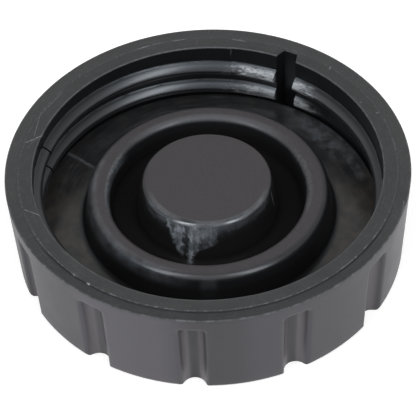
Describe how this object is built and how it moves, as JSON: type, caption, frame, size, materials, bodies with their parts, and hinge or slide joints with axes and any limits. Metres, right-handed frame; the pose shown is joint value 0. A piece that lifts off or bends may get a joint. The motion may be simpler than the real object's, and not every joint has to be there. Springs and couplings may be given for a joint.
{
  "type": "brake fluid reservoir cap",
  "caption": "Round black plastic screw cap with fluted skirt, internal thread and vent slot, holding a rubber bellows diaphragm, for closing a brake fluid reservoir.",
  "frame": {"origin": "centre of the cap's outer face, the face it lies on", "axes": "+Z along the cap's axis, out of the mouth; +X to the right and +Y away from the viewer of the picture"},
  "size_m": [0.068, 0.068, 0.0178],
  "materials": {
    "cap_plastic": "satin, scuffed",
    "diaphragm_rubber": "satin, dusty"
  },
  "bodies": {
    "root": {"cap": "cap_plastic", "diaphragm": "diaphragm_rubber"}
  },
  "joints": []
}
